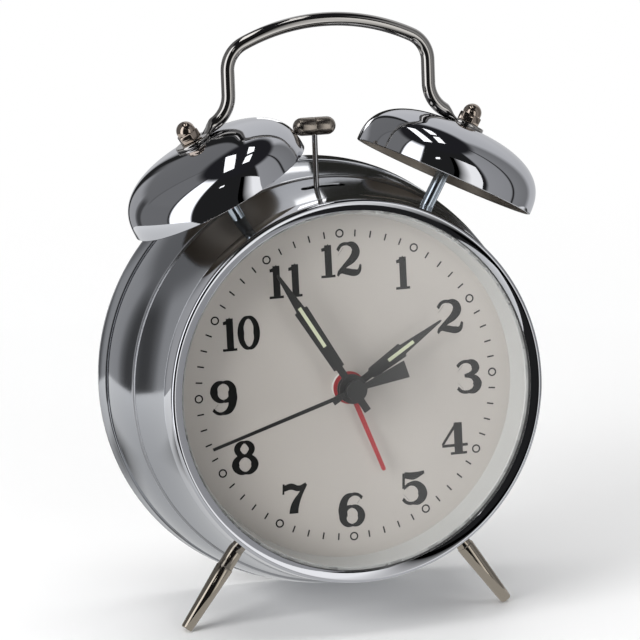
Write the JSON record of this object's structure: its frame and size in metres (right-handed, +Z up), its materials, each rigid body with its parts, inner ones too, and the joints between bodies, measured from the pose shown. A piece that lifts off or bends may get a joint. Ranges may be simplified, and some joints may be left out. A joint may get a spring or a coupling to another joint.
{
  "type": "twin bell alarm clock",
  "caption": "Round metal table alarm clock with twin bells, a hammer between them, a bent carry handle, two raked legs and an open numeral dial.",
  "frame": {"origin": "on the table, under the middle of the clock's overall box", "axes": "+X to the right as seen from the dial side, +Y towards the back, +Z up; the drum leans back by 8.44 degrees about X"},
  "size_m": [0.1204, 0.069, 0.1657],
  "materials": {
    "chrome": "mirror chrome plate on spun or bent steel",
    "nickel": "bright nickel plate, slightly warm",
    "zinc": "bright zinc plate",
    "glass": "clear mineral glass",
    "dial": "satin light grey print on aluminium",
    "white_plastic": "white moulded plastic",
    "black_plastic": "black moulded plastic, fine grain",
    "movement_plastic": "natural moulded plastic",
    "steel": "plain rolled steel",
    "copper": "enamelled copper wire",
    "wheel_plastic": "moulded acetal",
    "board": "green coated laminate",
    "black_paint": "semi-gloss black paint on aluminium",
    "red_paint": "red paint on aluminium",
    "lume": "pale luminous compound",
    "cell_label": "plain printed film on a steel can",
    "spring_steel": "polished spring steel",
    "lead_sleeve": "soft coloured insulation"
  },
  "bodies": {
    "clock": {"case_shell": "chrome", "front_bezel": "chrome", "crystal": "glass", "dial_plate": "dial", "dial_surround": "white_plastic", "rear_cover": "black_plastic", "cover_lugs": "steel", "cover_screws": "zinc", "bell_left": "chrome", "bell_right": "chrome", "bell_posts": "zinc", "bell_studs": "zinc", "cap_nuts": "nickel", "inner_nuts": "zinc", "carry_handle": "chrome", "leg_left": "nickel", "leg_right": "nickel", "hammer_pivot_pin": "steel", "pivot_clip": "spring_steel", "hammer_return_spring": "spring_steel", "striker_frame": "steel", "striker_core": "steel", "striker_coil": "copper", "striker_screws": "zinc", "movement_front_housing": "movement_plastic", "movement_rear_housing": "movement_plastic", "movement_screws": "zinc", "train_plate": "movement_plastic", "control_board": "board", "drive_coil": "copper", "coil_core": "steel", "stator_plate": "steel", "battery_cell": "cell_label", "battery_contacts": "spring_steel", "inner_leads": "lead_sleeve"},
    "hammer": {"hammer_head": "nickel", "hammer_stem": "spring_steel", "hammer_lever": "wheel_plastic", "hammer_armature": "steel"},
    "minute_train": {"minute_pipe": "wheel_plastic", "minute_hand": "black_paint", "minute_lume": "lume"},
    "hour_train": {"hour_wheel": "wheel_plastic", "hour_hand": "black_paint", "hour_lume": "lume"},
    "time_setting": {"motion_wheel": "wheel_plastic", "time_knob": "black_plastic"},
    "second_train": {"second_wheel": "wheel_plastic", "second_hand": "black_paint"},
    "fifth_train": {"fifth_wheel": "wheel_plastic"},
    "rotor_train": {"rotor": "wheel_plastic"},
    "third_train": {"third_wheel": "wheel_plastic"},
    "centre_train": {"centre_wheel": "wheel_plastic"},
    "alarm_train": {"alarm_wheel": "wheel_plastic", "alarm_hand": "red_paint"},
    "alarm_setting": {"alarm_setting_arbor": "wheel_plastic", "alarm_knob": "black_plastic"},
    "battery_door": {"battery_door": "black_plastic"},
    "alarm_switch": {"alarm_switch": "red_paint"}
  },
  "joints": [
    {"name": "hammer_swing", "type": "hinge", "parent": "clock", "child": "hammer", "pos_m": [-0.0046, -0.00386, 0.09526], "axis": [0, 0.9892, -0.1467], "range_deg": [-0.45, 12.1], "stiffness_Nm_per_rad": 0.02, "deforming": ["hammer_return_spring"]},
    {"name": "time_setting_turn", "type": "hinge", "parent": "clock", "child": "time_setting", "pos_m": [0.0096, -0.00959, 0.06477], "axis": [0, 0.9892, -0.1467], "continuous": true},
    {"name": "minute_turn", "type": "hinge", "parent": "clock", "child": "minute_train", "pos_m": [0, -0.00959, 0.06477], "axis": [0, 0.9892, -0.1467], "continuous": true},
    {"name": "hour_turn", "type": "hinge", "parent": "clock", "child": "hour_train", "pos_m": [0, -0.01118, 0.06501], "axis": [0, 0.9892, -0.1467], "continuous": true},
    {"name": "second_turn", "type": "hinge", "parent": "clock", "child": "second_train", "pos_m": [0, -0.00445, 0.06401], "axis": [0, 0.9892, -0.1467], "continuous": true},
    {"name": "fifth_turn", "type": "hinge", "parent": "clock", "child": "fifth_train", "pos_m": [0, -0.00213, 0.06943], "axis": [0, 0.9892, -0.1467], "continuous": true},
    {"name": "rotor_turn", "type": "hinge", "parent": "clock", "child": "rotor_train", "pos_m": [0, -0.00035, 0.07462], "axis": [0, 0.9892, -0.1467], "continuous": true},
    {"name": "third_turn", "type": "hinge", "parent": "clock", "child": "third_train", "pos_m": [0, -0.00721, 0.05562], "axis": [0, 0.9892, -0.1467], "continuous": true},
    {"name": "centre_turn", "type": "hinge", "parent": "clock", "child": "centre_train", "pos_m": [0, -0.00781, 0.06451], "axis": [0, 0.9892, -0.1467], "continuous": true},
    {"name": "alarm_setting_turn", "type": "hinge", "parent": "clock", "child": "alarm_setting", "pos_m": [-0.0096, -0.01276, 0.06524], "axis": [0, 0.9892, -0.1467], "continuous": true},
    {"name": "alarm_turn", "type": "hinge", "parent": "clock", "child": "alarm_train", "pos_m": [0, -0.01276, 0.06524], "axis": [0, 0.9892, -0.1467], "continuous": true},
    {"name": "battery_door_slide", "type": "slide", "parent": "clock", "child": "battery_door", "axis": [0, -0.1467, -0.9892], "range_m": [0, 0.0095]},
    {"name": "alarm_switch_slide", "type": "slide", "parent": "clock", "child": "alarm_switch", "axis": [1, 0, 0], "range_m": [0, 0.004]}
  ],
  "couplings": [
    {"joint": "minute_turn", "follows": "time_setting_turn", "ratio": -3},
    {"joint": "hour_turn", "follows": "time_setting_turn", "ratio": -0.25},
    {"joint": "fifth_turn", "follows": "second_turn", "ratio": -3.75},
    {"joint": "rotor_turn", "follows": "second_turn", "ratio": 30},
    {"joint": "third_turn", "follows": "second_turn", "ratio": -0.13333},
    {"joint": "centre_turn", "follows": "second_turn", "ratio": 0.016667},
    {"joint": "alarm_turn", "follows": "alarm_setting_turn", "ratio": -0.33333}
  ]
}
